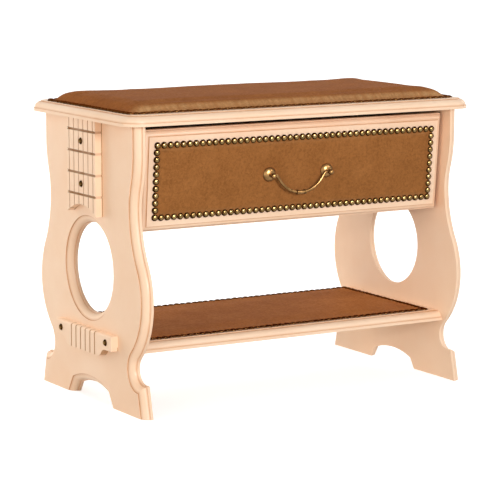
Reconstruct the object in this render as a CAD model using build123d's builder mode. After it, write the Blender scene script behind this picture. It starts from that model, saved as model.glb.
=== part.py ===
# Hall bench with guitar-shaped side panels, one drawer, a padded seat and a lower shelf.
# Millimetres. X runs along the bench, the front faces -Y, Z is up, and the origin is on the
# floor under the middle of the seat.
from build123d import *
from math import atan, atan2, cos, degrees, radians, sin, sqrt, tan
import os

os.makedirs("parts", exist_ok=True)

# Boards
board = 16.0  # side panels, seat, shelf, drawer front and back rail
drawer_board = 12.0  # drawer sides and back
bottom_sheet = 4.0  # drawer bottom

# Moulded edge, from the face outwards: square quirk, quarter round, second quirk, flat lip
quirk = 1.4
edge_round = 10.3  # side panels, seat and shelf
front_round = 8.0  # drawer front

# Side panel: half depths of the guitar outline and the heights they stand at
panel_height = 440.0
top_half_depth = 158.0
shoulder_height = 398.0
waist_half_depth = 144.5
waist_height = 312.0
bout_half_depth = 181.0
bout_height = 174.0
ankle_half_depth = 135.5
ankle_height = 70.0
foot_cove_radius = 21.0
foot_ledge = 10.0
foot_half_depth = 178.0  # at the floor
# Part of each S-bend that its upper arc takes
shoulder_share = 0.62
waist_share = 0.58
bout_share = 0.82

# Arch between the feet, and the sound hole
arch_half_width = 64.0  # at the floor
arch_shoulder_half_width = 53.0
arch_shoulder_height = 17.0
arch_rise = 26.5
arch_corner_radius = 12.0
hole_radius = 70.5
hole_height = 207.0

# Fretboard
fretboard_width = 96.0
fretboard_thickness = 12.0
fretboard_gap = 17.8  # plain panel between the hole's moulding and the middle of the fretboard's end
fretboard_end_radius = 86.0  # its lower end is hollowed to this arc
string_count = 6
string_pitch = 16.0
string_groove_width = 1.6
string_groove_depth = 0.8
fret_count = 4
fret_pitch = 33.0
first_fret_drop = 18.5  # below the seat board
fret_groove_width = 2.6
fret_groove_depth = 1.2

# Bridge
bridge_top_height = 115.0
bridge_length = 190.0
bridge_thickness = 12.0
bridge_block_width = 96.0
bridge_block_height = 36.0
bridge_wing_height = 23.0
bridge_step_run = 26.0
bridge_edge_radius = 3.5
bridge_nail_spacing = 152.0
rib_groove_width = 3.0
rib_groove_depth = 4.0

# Upholstery nails
nail_head_radius = 5.3
nail_head_height = 3.4
nail_crown_radius = 2.2  # flat on top of the facetted heads in the rows
nail_pitch = 11.0
nail_sides = 6
nail_shank_radius = 1.0
nail_shank_length = 9.0

# Seat board and pad
seat_length = 624.0
seat_end_overhang = 20.5  # past the outer faces of the side panels
seat_front_overhang = 15.0  # past the panels' upper edges, at the back too
seat_corner_radius = 32.0
seat_margin_end = 5.0  # bare board around the nail row
seat_margin_front = 15.0
pad_corner_radius = 12.0
pad_border = 60.0  # width over which the pad rises from its nailed edge
pad_fullness = 3.3  # power of the curve that the rise follows
pad_sections = 6
pad_crown = 16.5  # height of the pad above its leather edge
leather = 1.5

# Shelf
shelf_height = 110.0  # upper face
shelf_half_depth = 141.0
shelf_margin_end = 13.5
shelf_margin_front = 4.0
padding = 1.5  # thin padding under the leather of the shelf and the drawer
padding_edge_radius = 1.2

# Drawer front: leans forward at the top, along the panels' front edges
front_tilt = 5.0
front_recess = 5.9  # middle of its face behind the panels' waist
front_end_gap = 4.75  # to each side panel
front_gap = 9.8  # under the seat board
front_width = 155.0
front_margin = 7.6  # bare band between moulding and nail row

# Drawer box
box_gap = 5.5  # between a drawer side and a side panel
box_rise = 7.2  # lower edge of the drawer sides above that of the front
box_drop = 25.2  # upper edge of the drawer sides below that of the front
box_rear_gap = 6.0  # to the back rail
sheet_rise = 10.0  # drawer bottom above the lower edge of the drawer sides
sheet_groove_depth = 6.0
sheet_clearance = 0.2

# Runners and back rail
runner_width = 11.0
runner_height = 16.0
runner_start = 22.0  # behind the drawer front
runner_groove_depth = 6.5
runner_clearance = 0.3
groove_stop = 0.5
rail_recess = 14.5  # outer face behind the panels' waist

# Dowels and screws
dowel_radius = 4.0
dowel_length = 32.0
dowel_in_face = 10.0
dowel_clearance = 0.1
dowel_end_gap = 0.5
seat_dowel_spacing = 110.0
shelf_dowel_spacing = 90.0
rail_dowel_spacing = 100.0
drawer_dowel_radius = 3.0
drawer_dowel_length = 26.0
drawer_dowel_in_face = 8.0
drawer_dowel_spacing = 60.0
screw_radius = 1.75
screw_head_radius = 3.5
screw_length = 20.0
screw_spacing = 80.0

# Bail handle
post_spacing = 104.0
rosette_radius = 11.2
rosette_rim = 1.2
rosette_height = 6.4
neck_radius = 3.7
knob_radius = 4.4
post_length = 18.5
bail_standoff = 9.6  # swing axis above the foot of the posts
bail_radius = 2.2
bail_clearance = 0.08
bail_drop = 29.0
bail_arc_radius = 46.0
bail_arm_angle = 55.0
bail_bend_radius = 4.0
bail_pin_gap = 0.3  # between a bail end and the bottom of its hole
collar_radius = 3.9
collar_width = 2.4
collar_spacing = 11.0
grip_radius = 3.0
handle_screw_radius = 2.0
handle_screw_clearance = 0.1
handle_screw_depth = 6.0  # reach into the posts
handle_screw_head_radius = 4.0
handle_screw_head_height = 2.4

# Sizes that follow from the ones above
outside = seat_length / 2 - seat_end_overhang
inside = outside - board
seat_depth = 2 * (top_half_depth + seat_front_overhang)
edge_lip = board - quirk - edge_round
edge_inset = quirk + edge_round
run_out = 20.0  # the moulding is worked past the ends of a panel, which are then cut off square
seat_top = panel_height + board
shelf_middle = shelf_height - board / 2
front_inset = quirk + front_round
frets = [panel_height - first_fret_drop - i * fret_pitch for i in range(fret_count)]
strings = [(i - (string_count - 1) / 2) * string_pitch for i in range(string_count)]

left_inside = Plane(origin=(-inside, 0, 0), x_dir=(0, -1, 0), z_dir=(-1, 0, 0))
left_outside = left_inside.offset(board)

# Drawer front's face, with the axes along the bench and up the slope, and the box behind it
lean = radians(front_tilt)
front_half_rise = front_width / 2 * cos(lean)
front_height = panel_height - front_gap - front_half_rise
front_length = 2 * (inside - front_end_gap)
front_middle = Vector(0, front_recess - waist_half_depth, front_height)
front_face = Plane(origin=front_middle, x_dir=(1, 0, 0), z_dir=(0, -cos(lean), -sin(lean)))
front_back = front_face.offset(-board)
rail_setback = waist_half_depth - rail_recess
rail_bottom_height = front_height - front_half_rise
box_outside = inside - box_gap
box_inside = box_outside - drawer_board
box_bottom_height = front_height - front_half_rise + box_rise
box_top_height = front_height + front_half_rise - box_drop
box_middle = (box_bottom_height + box_top_height) / 2
box_rear = rail_setback - board - box_rear_gap


# Place on the back of the front board at a height above the floor
def behind_front(height):
    return front_back.origin.Y - (height - front_back.origin.Z) * tan(lean)


runner_level = box_middle
runner_front = behind_front(runner_level) + runner_start
runner_length = box_rear - runner_front


def write(part, node):
    part.label = node
    export_step(part, f"parts/{node}.step")


# Two arcs from an upright tangent to the next one further down the panel's edge
def s_bend(start, half_depth, height, upper_share):
    turn = 2 * atan2(abs(half_depth - start.X), start.Y - height)
    radius = (start.Y - height) / sin(turn)
    way = 1 if half_depth > start.X else -1
    upper = JernArc(start, (0, -1), radius * upper_share, way * degrees(turn))
    return JernArc(upper @ 1, upper % 1, radius * (1 - upper_share), -way * degrees(turn))


# Arch cut between the feet, run on below the floor
def foot_arch():
    sagitta = arch_rise - arch_shoulder_height
    crown_radius = (arch_shoulder_half_width**2 + sagitta**2) / (2 * sagitta)
    spread = (arch_half_width - arch_shoulder_half_width) * run_out / arch_shoulder_height
    foot = Vector(arch_half_width + spread, -run_out)
    shoulder = Vector(arch_shoulder_half_width, arch_shoulder_height)
    with BuildSketch() as arch:
        with BuildLine():
            Polyline((0, -run_out), foot, shoulder)
            RadiusArc(shoulder, (0, arch_rise), -crown_radius)
            mirror(about=Plane.YZ)
        make_face()
        fillet(arch.vertices().group_by(Axis.Y)[-2], arch_corner_radius)
    return arch.sketch


# Face of a side panel drawn in by inset from every moulded edge
def panel_face(inset):
    with BuildSketch() as face:
        with BuildLine():
            top = Line((0, panel_height + run_out), (top_half_depth, panel_height + run_out))
            neck = Line(top @ 1, (top_half_depth, shoulder_height))
            waist = s_bend(neck @ 1, waist_half_depth, waist_height, shoulder_share)
            bout = s_bend(waist @ 1, bout_half_depth, bout_height, waist_share)
            ankle = s_bend(bout @ 1, ankle_half_depth, ankle_height, bout_share)
            cove = JernArc(ankle @ 1, (0, -1), foot_cove_radius, 90)
            ledge = Line(cove @ 1, cove @ 1 + Vector(foot_ledge, 0))
            toe = Vector(foot_half_depth, 0)
            slope = toe - ledge @ 1
            edge = Line(ledge @ 1, toe - slope * (run_out / slope.Y))
            Line(edge @ 1, (0, -run_out))
            mirror(about=Plane.YZ)
        make_face()
        add(foot_arch(), mode=Mode.SUBTRACT)
        if inset > 0:
            offset(amount=-inset, kind=Kind.INTERSECTION, mode=Mode.REPLACE)
        with Locations((0, hole_height)):
            Circle(hole_radius + inset, mode=Mode.SUBTRACT)
    return left_inside * face.sketch


# Dowel places: middles, with the part in the panel's face and the rest in the other board's edge
dowel_reach = dowel_in_face - dowel_length / 2
shelf_dowels_left = [
    (-inside - dowel_reach, y, shelf_middle) for y in (-shelf_dowel_spacing, 0, shelf_dowel_spacing)
]
rail_middle = rail_setback - board / 2
rail_dowel_level = (rail_bottom_height + panel_height) / 2
rail_dowels_left = [
    (-inside - dowel_reach, rail_middle, rail_dowel_level + side * rail_dowel_spacing / 2) for side in (-1, 1)
]
seat_dowels_left = [
    (-inside - board / 2, y, panel_height + dowel_reach) for y in (-seat_dowel_spacing, 0, seat_dowel_spacing)
]
dowel_hole = (dowel_radius + dowel_clearance, dowel_length + 2 * dowel_end_gap)
along_x = (0, 90, 0)

runner_middle = runner_front + runner_length / 2
runner_screws_y = [runner_middle + i * screw_spacing for i in (-1, 0, 1)]
screw_head_height = screw_head_radius - screw_radius


def opposite(places):
    return [(-x, y, z) for x, y, z in places]


# Side panels: board cut to the guitar outline, moulded on the outer face
with BuildPart() as left_side_panel:
    extrude(panel_face(quirk), amount=board - quirk)
    fillet(left_side_panel.faces().sort_by(Axis.X)[0].edges(), edge_round)
    extrude(panel_face(0), amount=edge_lip)
    extrude(panel_face(edge_inset), amount=board)
    split(bisect_by=Plane.XY, keep=Keep.TOP)
    split(bisect_by=Plane.XY.offset(panel_height), keep=Keep.BOTTOM)
    with Locations(*shelf_dowels_left, *rail_dowels_left):
        Cylinder(*dowel_hole, rotation=along_x, mode=Mode.SUBTRACT)
    with Locations(*seat_dowels_left):
        Cylinder(*dowel_hole, mode=Mode.SUBTRACT)
    with Locations(*[(-inside + runner_width - screw_length / 2, y, runner_level) for y in runner_screws_y]):
        Cylinder(
            screw_radius + dowel_clearance,
            screw_length + 2 * dowel_end_gap,
            rotation=along_x,
            mode=Mode.SUBTRACT,
        )
write(left_side_panel.part, "left_side_panel")

with BuildPart() as right_side_panel:
    mirror(left_side_panel.part, about=Plane.YZ)
write(right_side_panel.part, "right_side_panel")

# Places of the ornament nails on a fretboard and a bridge, in (Y, Z)
bridge_wing_level = bridge_top_height - bridge_wing_height / 2
fret_dots = [(0, (frets[i] + frets[i + 1]) / 2) for i in range(0, fret_count - 1, 2)]
bridge_nails = [(side * bridge_nail_spacing / 2, bridge_wing_level) for side in (-1, 1)]
nail_hole = (nail_shank_radius + dowel_clearance, 2 * (nail_shank_length + dowel_end_gap))

# Fretboards: hollowed towards the hole, with string and fret grooves
fretboard_face = outside + fretboard_thickness
fretboard_end = hole_height + hole_radius + edge_inset + fretboard_gap
with BuildPart() as left_fretboard:
    with BuildSketch(left_outside):
        with Locations((0, fretboard_end - fretboard_end_radius)):
            fretboard_reach = panel_height - fretboard_end + fretboard_end_radius
            Rectangle(fretboard_width, fretboard_reach, align=(Align.CENTER, Align.MIN))
            Circle(fretboard_end_radius, mode=Mode.SUBTRACT)
    extrude(amount=fretboard_thickness)
    with Locations(*[(-fretboard_face, y, panel_height) for y in strings]):
        Box(2 * string_groove_depth, string_groove_width, 2 * panel_height, mode=Mode.SUBTRACT)
    for fret in frets:
        with BuildSketch(Plane.XY.offset(fret - fret_groove_width / 2)):
            with Locations((-outside, 0)):
                Rectangle(4 * fretboard_thickness, 2 * fretboard_width)
                Rectangle(
                    2 * (fretboard_thickness - fret_groove_depth),
                    fretboard_width - 2 * fret_groove_depth,
                    mode=Mode.SUBTRACT,
                )
        extrude(amount=fret_groove_width, mode=Mode.SUBTRACT)
    with Locations(*[(-fretboard_face, y, z) for y, z in fret_dots]):
        Cylinder(*nail_hole, rotation=along_x, mode=Mode.SUBTRACT)
write(left_fretboard.part, "left_fretboard")

with BuildPart() as right_fretboard:
    mirror(left_fretboard.part, about=Plane.YZ)
write(right_fretboard.part, "right_fretboard")

# Bridges: ribbed block with two wings that step up in an S-curve
bridge_step = bridge_block_height - bridge_wing_height
bridge_turn = 2 * atan2(bridge_step, bridge_step_run)
bridge_step_radius = bridge_step_run / sin(bridge_turn) / 2
bridge_bottom = bridge_top_height - bridge_block_height
bridge_face = outside + bridge_thickness
with BuildPart() as left_bridge:
    with BuildSketch(left_outside):
        with BuildLine():
            block = Line((0, bridge_bottom), (bridge_block_width / 2, bridge_bottom))
            lower = JernArc(block @ 1, (1, 0), bridge_step_radius, degrees(bridge_turn))
            upper = JernArc(lower @ 1, lower % 1, bridge_step_radius, -degrees(bridge_turn))
            wing = Line(upper @ 1, (bridge_length / 2, bridge_top_height - bridge_wing_height))
            Polyline(wing @ 1, (bridge_length / 2, bridge_top_height), (0, bridge_top_height))
            mirror(about=Plane.YZ)
        make_face()
    extrude(amount=bridge_thickness)
    front_edges = left_bridge.faces().sort_by(Axis.X)[0].edges()
    fillet(front_edges.filter_by(Axis.Y).group_by(Axis.Z)[-1], bridge_edge_radius)
    with BuildSketch(Plane.XY.offset(bridge_bottom)):
        with Locations(*[(-bridge_face, y) for y in strings]):
            Polygon((0, -rib_groove_width / 2), (rib_groove_depth, 0), (0, rib_groove_width / 2), align=None)
    extrude(amount=bridge_block_height, mode=Mode.SUBTRACT)
    with Locations(*[(-bridge_face, y, z) for y, z in bridge_nails]):
        Cylinder(*nail_hole, rotation=along_x, mode=Mode.SUBTRACT)
write(left_bridge.part, "left_bridge")

with BuildPart() as right_bridge:
    mirror(left_bridge.part, about=Plane.YZ)
write(right_bridge.part, "right_bridge")

# Ornament nails: domed heads on shanks, two in the fretboard and two in the bridge
nail_dome_radius = (nail_head_radius**2 + nail_head_height**2) / (2 * nail_head_height)
with BuildPart() as left_ornament_nails:
    nails = [(-fretboard_face, y, z) for y, z in fret_dots] + [(-bridge_face, y, z) for y, z in bridge_nails]
    for place in nails:
        with BuildSketch(Plane(origin=place, x_dir=(0, 1, 0), z_dir=(0, 0, 1))):
            with BuildLine():
                shank = Polyline(
                    (0, 0),
                    (0, -nail_shank_length),
                    (nail_shank_radius, -nail_shank_length),
                    (nail_shank_radius, 0),
                    (nail_head_radius, 0),
                )
                dome = RadiusArc(shank @ 1, (0, nail_head_height), -nail_dome_radius)
                Line(dome @ 1, shank @ 0)
            make_face()
        revolve(axis=Axis(place, (-1, 0, 0)))
write(left_ornament_nails.part, "left_ornament_nails")

with BuildPart() as right_ornament_nails:
    mirror(left_ornament_nails.part, about=Plane.YZ)
write(right_ornament_nails.part, "right_ornament_nails")


# Seat board: rounded corners, moulded all round its upper face
def seat_outline(inset):
    with BuildSketch(Plane.XY.offset(panel_height)) as outline:
        RectangleRounded(seat_length - 2 * inset, seat_depth - 2 * inset, seat_corner_radius - inset)
    return outline.sketch


with BuildPart() as seat_board:
    extrude(seat_outline(quirk), amount=board - quirk)
    fillet(seat_board.faces().sort_by(Axis.Z)[-1].edges(), edge_round)
    extrude(seat_outline(0), amount=edge_lip)
    extrude(seat_outline(edge_inset), amount=board)
    with Locations(*seat_dowels_left, *opposite(seat_dowels_left)):
        Cylinder(*dowel_hole, mode=Mode.SUBTRACT)
write(seat_board.part, "seat_board")

# Nail rows: domed heads side by side, each cut to a few flats
nail_band = 2 * nail_head_radius
leather_tuck = 1.0  # the leather's edge lies this far inside the nail row
nail_taper = degrees(atan((nail_head_radius - nail_crown_radius) / nail_head_height))


def nail_places(length, depth):
    columns = round(length / nail_pitch)
    rows = round(depth / nail_pitch)
    across = [length * (i / columns - 0.5) for i in range(columns + 1)]
    upright = [depth * (i / rows - 0.5) for i in range(1, rows)]
    ends = [(side * length / 2, y) for y in upright for side in (-1, 1)]
    return [(x, side * depth / 2) for x in across for side in (-1, 1)] + ends


def nail_row(places):
    with BuildPart() as row:
        with BuildSketch():
            with Locations(*places):
                RegularPolygon(nail_head_radius, nail_sides)
        extrude(amount=nail_head_height, taper=nail_taper)
    return row.part


# Seat pad: leather over foam, nailed down all round, rising over a soft border to a low crown
pad_length = seat_length - 2 * (edge_inset + seat_margin_end)
pad_depth = seat_depth - 2 * (edge_inset + seat_margin_front)
pad_base = seat_top + leather

with BuildPart() as seat_pad:
    with BuildSketch(Plane.XY.offset(seat_top)):
        RectangleRounded(pad_length - 2 * leather_tuck, pad_depth - 2 * leather_tuck, pad_corner_radius)
    extrude(amount=leather)
    for i in range(pad_sections + 1):
        way_in = (i / pad_sections) ** 1.5
        drawn_in = nail_band + pad_border * way_in
        rise = pad_crown * (1 - (1 - way_in) ** pad_fullness)
        with BuildSketch(Plane.XY.offset(pad_base + rise)):
            RectangleRounded(pad_length - 2 * drawn_in, pad_depth - 2 * drawn_in, pad_corner_radius)
    loft()
write(seat_pad.part, "seat_pad")

with BuildSketch() as seat_nail_line:
    RectangleRounded(pad_length - nail_band, pad_depth - nail_band, pad_corner_radius)
seat_nail_wire = seat_nail_line.face().outer_wire()
seat_nail_count = round(seat_nail_wire.length / nail_pitch)
seat_nail_places = [seat_nail_wire @ (i / seat_nail_count) for i in range(seat_nail_count)]
with BuildPart() as seat_nails:
    add(Plane.XY.offset(pad_base) * nail_row(seat_nail_places))
write(seat_nails.part, "seat_nails")

# Shelf: board between the side panels, moulded along its front and back edges
with BuildPart() as shelf:
    with BuildSketch(Plane.YZ.offset(-inside)):
        with BuildLine():
            under = Polyline(
                (0, shelf_height - board),
                (shelf_half_depth, shelf_height - board),
                (shelf_half_depth, shelf_height - edge_inset),
                (shelf_half_depth - quirk, shelf_height - edge_inset),
            )
            bead = RadiusArc(under @ 1, (shelf_half_depth - edge_inset, shelf_height - quirk), -edge_round)
            Polyline(bead @ 1, (shelf_half_depth - edge_inset, shelf_height), (0, shelf_height))
            mirror(about=Plane.YZ)
        make_face()
    extrude(amount=2 * inside)
    with Locations(*shelf_dowels_left, *opposite(shelf_dowels_left)):
        Cylinder(*dowel_hole, rotation=along_x, mode=Mode.SUBTRACT)
write(shelf.part, "shelf")

# Shelf cover: thinly padded leather with its own nail row
shelf_face = Plane.XY.offset(shelf_height)
cover_length = 2 * (inside - shelf_margin_end)
cover_depth = 2 * (shelf_half_depth - edge_inset - shelf_margin_front)
with BuildPart() as shelf_leather:
    with BuildSketch(shelf_face):
        Rectangle(cover_length - 2 * leather_tuck, cover_depth - 2 * leather_tuck)
    extrude(amount=leather)
    with BuildSketch(shelf_face.offset(leather)):
        Rectangle(cover_length - 2 * nail_band, cover_depth - 2 * nail_band)
    extrude(amount=padding)
    fillet(shelf_leather.faces().sort_by(Axis.Z)[-1].edges(), padding_edge_radius)
write(shelf_leather.part, "shelf_leather")

shelf_nail_places = nail_places(cover_length - nail_band, cover_depth - nail_band)
with BuildPart() as shelf_nails:
    add(shelf_face.offset(leather) * nail_row(shelf_nail_places))
write(shelf_nails.part, "shelf_nails")

# Back rail: plain board that closes the drawer space behind
with BuildPart() as back_rail:
    with Locations((0, rail_setback, rail_bottom_height)):
        Box(2 * inside, board, panel_height - rail_bottom_height, align=(Align.CENTER, Align.MAX, Align.MIN))
    with Locations(*rail_dowels_left, *opposite(rail_dowels_left)):
        Cylinder(*dowel_hole, rotation=along_x, mode=Mode.SUBTRACT)
write(back_rail.part, "back_rail")

# Runners: hardwood strips screwed to the side panels
runner_screw_places = [
    Plane(origin=(runner_width - inside, y, runner_level), z_dir=(1, 0, 0)) for y in runner_screws_y
]
with BuildPart() as left_runner:
    with Locations((-inside, runner_front, runner_level)):
        Box(runner_width, runner_length, runner_height, align=(Align.MIN, Align.MIN, Align.CENTER))
    with Locations(*runner_screw_places):
        CounterSinkHole(
            screw_radius + dowel_clearance, screw_head_radius + dowel_clearance, counter_sink_angle=90
        )
write(left_runner.part, "left_runner")

with BuildPart() as right_runner:
    mirror(left_runner.part, about=Plane.YZ)
write(right_runner.part, "right_runner")

with BuildPart() as runner_screws:
    with Locations(*runner_screw_places):
        Cylinder(screw_radius, screw_length, align=(Align.CENTER, Align.CENTER, Align.MAX))
        Cone(
            screw_radius, screw_head_radius, screw_head_height, align=(Align.CENTER, Align.CENTER, Align.MAX)
        )
    mirror(about=Plane.YZ)
write(runner_screws.part, "runner_screws")

# Dowels of the carcass
for name, left_places, turned in (
    ("seat_dowels", seat_dowels_left, (0, 0, 0)),
    ("shelf_dowels", shelf_dowels_left, along_x),
    ("rail_dowels", rail_dowels_left, along_x),
):
    with BuildPart() as dowels:
        with Locations(*left_places, *opposite(left_places)):
            Cylinder(dowel_radius, dowel_length, rotation=turned)
    write(dowels.part, name)

# Drawer front: moulded on its face
sheet_level = box_bottom_height + sheet_rise + bottom_sheet / 2
sheet_groove = bottom_sheet + 2 * sheet_clearance
drawer_dowel_hole = (drawer_dowel_radius + dowel_clearance, drawer_dowel_length + 2 * dowel_end_gap)
drawer_dowel_reach = drawer_dowel_in_face - drawer_dowel_length / 2
box_middle_on_front = (box_middle - front_height) / cos(lean)
front_dowels = [
    front_back.location
    * Location((x, box_middle_on_front + side * drawer_dowel_spacing / 2, drawer_dowel_reach))
    for x in (drawer_board / 2 - box_outside, box_outside - drawer_board / 2)
    for side in (-1, 1)
]
posts = [-post_spacing / 2, post_spacing / 2]


def front_outline(inset):
    with BuildSketch(front_back) as outline:
        Rectangle(front_length - 2 * inset, front_width - 2 * inset)
    return outline.sketch


with BuildPart() as drawer_front:
    extrude(front_outline(quirk), amount=board - quirk)
    outward = Axis(front_back.origin, front_back.z_dir)
    fillet(drawer_front.faces().sort_by(outward)[-1].edges(), front_round)
    extrude(front_outline(0), amount=board - front_inset)
    extrude(front_outline(front_inset), amount=board)
    with Locations((0, behind_front(sheet_level), sheet_level)):
        Box(2 * (box_inside + sheet_groove_depth), 2 * sheet_groove_depth, sheet_groove, mode=Mode.SUBTRACT)
    with Locations(*front_dowels):
        Cylinder(*drawer_dowel_hole, mode=Mode.SUBTRACT)
    with Locations(*[front_face.location * Location((x, 0, 0)) for x in posts]):
        Hole(handle_screw_radius + handle_screw_clearance)
write(drawer_front.part, "drawer_front")

# Drawer cover: thinly padded leather with its own nail row
front_cover_length = front_length - 2 * (front_inset + front_margin)
front_cover_width = front_width - 2 * (front_inset + front_margin)
with BuildPart() as drawer_leather:
    with BuildSketch(front_face):
        Rectangle(front_cover_length - 2 * leather_tuck, front_cover_width - 2 * leather_tuck)
    extrude(amount=leather)
    with BuildSketch(front_face.offset(leather)):
        Rectangle(front_cover_length - 2 * nail_band, front_cover_width - 2 * nail_band)
    extrude(amount=padding)
    fillet(drawer_leather.faces().sort_by(outward)[-1].edges(), padding_edge_radius)
    with Locations(*[front_face.offset(leather + padding).location * Location((x, 0, 0)) for x in posts]):
        Hole(handle_screw_radius + handle_screw_clearance)
write(drawer_leather.part, "drawer_leather")

front_nail_places = nail_places(front_cover_length - nail_band, front_cover_width - nail_band)
with BuildPart() as drawer_nails:
    add(front_face.offset(leather) * nail_row(front_nail_places))
write(drawer_nails.part, "drawer_nails")

# Drawer sides: front ends cut to the slope, grooved for the runners and for the bottom
back_bottom_height = sheet_level + bottom_sheet / 2
back_middle = (back_bottom_height + box_top_height) / 2
back_dowels_left = [
    (-box_inside - drawer_dowel_reach, box_rear - drawer_board / 2, back_middle + rise)
    for rise in (-drawer_dowel_spacing / 2, drawer_dowel_spacing / 2)
]
with BuildPart() as drawer_left_side:
    with BuildSketch(Plane.YZ.offset(-box_outside)):
        Polygon(
            (behind_front(box_bottom_height), box_bottom_height),
            (box_rear, box_bottom_height),
            (box_rear, box_top_height),
            (behind_front(box_top_height), box_top_height),
            align=None,
        )
    extrude(amount=drawer_board)
    with Locations((-box_outside, runner_front - groove_stop, runner_level)):
        Box(
            2 * runner_groove_depth,
            2 * runner_length,
            runner_height + 2 * runner_clearance,
            align=(Align.CENTER, Align.MIN, Align.CENTER),
            mode=Mode.SUBTRACT,
        )
    with Locations((-box_inside, 0, sheet_level)):
        Box(2 * sheet_groove_depth, 2 * box_rear + 4 * board, sheet_groove, mode=Mode.SUBTRACT)
    with Locations(*front_dowels):
        Cylinder(*drawer_dowel_hole, mode=Mode.SUBTRACT)
    with Locations(*back_dowels_left):
        Cylinder(*drawer_dowel_hole, rotation=along_x, mode=Mode.SUBTRACT)
write(drawer_left_side.part, "drawer_left_side")

with BuildPart() as drawer_right_side:
    mirror(drawer_left_side.part, about=Plane.YZ)
write(drawer_right_side.part, "drawer_right_side")

# Drawer back stands on the bottom sheet, which is held in grooves on its other three sides
with BuildPart() as drawer_back:
    with Locations((0, box_rear, back_bottom_height)):
        Box(
            2 * box_inside,
            drawer_board,
            box_top_height - back_bottom_height,
            align=(Align.CENTER, Align.MAX, Align.MIN),
        )
    with Locations(*back_dowels_left, *opposite(back_dowels_left)):
        Cylinder(*drawer_dowel_hole, rotation=along_x, mode=Mode.SUBTRACT)
write(drawer_back.part, "drawer_back")

sheet_front = behind_front(sheet_level) - sheet_groove_depth + 2 * sheet_clearance
with BuildPart() as drawer_bottom:
    with Locations((0, box_rear, sheet_level)):
        Box(
            2 * (box_inside + sheet_groove_depth - sheet_clearance),
            box_rear - sheet_front,
            bottom_sheet,
            align=(Align.CENTER, Align.MAX, Align.CENTER),
        )
write(drawer_bottom.part, "drawer_bottom")

with BuildPart() as drawer_dowels:
    with Locations(*front_dowels):
        Cylinder(drawer_dowel_radius, drawer_dowel_length)
    with Locations(*back_dowels_left, *opposite(back_dowels_left)):
        Cylinder(drawer_dowel_radius, drawer_dowel_length, rotation=along_x)
write(drawer_dowels.part, "drawer_dowels")

# Handle posts: domed rosette, neck and round knob, cross-drilled for the ends of the bail
post_foot = front_face.offset(leather + padding)
left_post = post_foot.shift_origin(post_foot.from_local_coords((posts[0], 0, 0)))
bail_axis = post_foot.offset(bail_standoff).origin
dome_radius = rosette_radius - rosette_rim
with BuildPart() as left_handle_post:
    with BuildSketch(Plane(origin=left_post.origin, x_dir=(1, 0, 0), z_dir=-post_foot.y_dir)):
        with BuildLine():
            rim = Polyline((0, 0), (rosette_radius, 0), (rosette_radius, rosette_rim))
            dome = RadiusArc(rim @ 1, (neck_radius, rosette_height), -dome_radius)
            knob_start = post_length - knob_radius - sqrt(knob_radius**2 - neck_radius**2)
            neck = Line(dome @ 1, (neck_radius, knob_start))
            knob = ThreePointArc(neck @ 1, (knob_radius, post_length - knob_radius), (0, post_length))
            Line(knob @ 1, rim @ 0)
        make_face()
    revolve(axis=Axis(left_post.origin, left_post.z_dir))
    with Locations(left_post):
        Cylinder(
            handle_screw_radius + handle_screw_clearance,
            2 * (handle_screw_depth + dowel_end_gap),
            mode=Mode.SUBTRACT,
        )
    with Locations(bail_axis + Vector(posts[0] - bail_pin_gap, 0, 0)):
        Cylinder(
            bail_radius + bail_clearance,
            2 * neck_radius,
            rotation=along_x,
            align=(Align.CENTER, Align.CENTER, Align.MIN),
            mode=Mode.SUBTRACT,
        )
write(left_handle_post.part, "left_handle_post")

with BuildPart() as right_handle_post:
    mirror(left_handle_post.part, about=Plane.YZ)
write(right_handle_post.part, "right_handle_post")

# Handle screws, put in from inside the drawer
with BuildPart() as handle_screws:
    with Locations(*[front_back.location * Location((x, 0, 0)) for x in posts]):
        Cylinder(
            handle_screw_radius,
            board + leather + padding + handle_screw_depth,
            align=(Align.CENTER, Align.CENTER, Align.MIN),
        )
        Cylinder(
            handle_screw_head_radius, handle_screw_head_height, align=(Align.CENTER, Align.CENTER, Align.MAX)
        )
write(handle_screws.part, "handle_screws")

# Bail: bent rod hanging plumb from the posts, with a thicker grip between two collars
bail_plane = Plane(origin=bail_axis, x_dir=(1, 0, 0), z_dir=(0, -1, 0))
arm_angle = radians(bail_arm_angle)
with BuildLine() as rod:
    bow = JernArc((0, -bail_drop), (1, 0), bail_arc_radius, bail_arm_angle)
    arm_rise = -(bow @ 1).Y - bail_bend_radius * (1 - cos(arm_angle))
    arm = Line(bow @ 1, bow @ 1 + (bow % 1) * (arm_rise / sin(arm_angle)))
    bend = JernArc(arm @ 1, arm % 1, bail_bend_radius, -bail_arm_angle)
    Line(bend @ 1, (post_spacing / 2, 0))
    mirror(about=Plane.YZ)
rod_path = bail_plane * rod.wire()
bow_axis = Axis(bail_plane.from_local_coords((0, bail_arc_radius - bail_drop, 0)), bail_plane.z_dir)
with BuildPart() as handle_bail:
    with BuildSketch(Plane(origin=rod_path @ 0, z_dir=rod_path % 0)):
        Circle(bail_radius)
    sweep(path=rod_path)
    for start, width, radius in (
        (-collar_spacing / 2 - collar_width, collar_width, collar_radius),
        (-collar_spacing / 2, collar_spacing, grip_radius),
        (collar_spacing / 2, collar_width, collar_radius),
    ):
        turn = start / bail_arc_radius
        centre = bail_plane.from_local_coords(
            (bail_arc_radius * sin(turn), bail_arc_radius * (1 - cos(turn)) - bail_drop, 0)
        )
        with BuildSketch(Plane(origin=centre, z_dir=(cos(turn), 0, sin(turn)))):
            Circle(radius)
        revolve(axis=bow_axis, revolution_arc=degrees(width / bail_arc_radius))
write(handle_bail.part, "handle_bail")
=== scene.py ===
# Hall bench on guitar-shaped sides: ivory paint, brown leather, bronzed nails and an aged brass handle.
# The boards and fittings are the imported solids; the leather, its padding and the nail rows are made here.
import math

import bmesh
import bpy
from mathutils import Matrix, Vector, noise


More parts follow.
